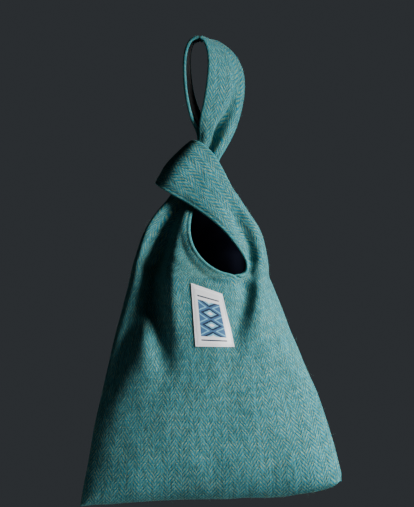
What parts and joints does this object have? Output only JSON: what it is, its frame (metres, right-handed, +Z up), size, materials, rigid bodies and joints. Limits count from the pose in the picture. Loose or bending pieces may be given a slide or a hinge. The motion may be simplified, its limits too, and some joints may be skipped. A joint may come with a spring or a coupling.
{
  "type": "knot bag",
  "caption": "Lined knot bag of herringbone wool: a flared body whose long handle is drawn up through a short wrist loop, so the mouth gathers shut and it hangs by the long handle.",
  "frame": {"origin": "inside of the long handle's top, on the middle line of the handle's width, where a peg carries the bag", "axes": "+Z up along the hanging bag, +X to the viewer's right across the front, +Y from the front to the back"},
  "size_m": [0.3025, 0.0765, 0.5397],
  "materials": {
    "tweed": "teal and pale green herringbone wool tweed, matt and slightly hairy",
    "lining": "dark navy plain-woven cotton",
    "label": "white woven label with a plain blue pattern"
  },
  "bodies": {
    "root": {"front_panel": "tweed", "front_lining": "lining", "back_panel": "tweed", "back_lining": "lining", "label": "label"}
  },
  "joints": []
}
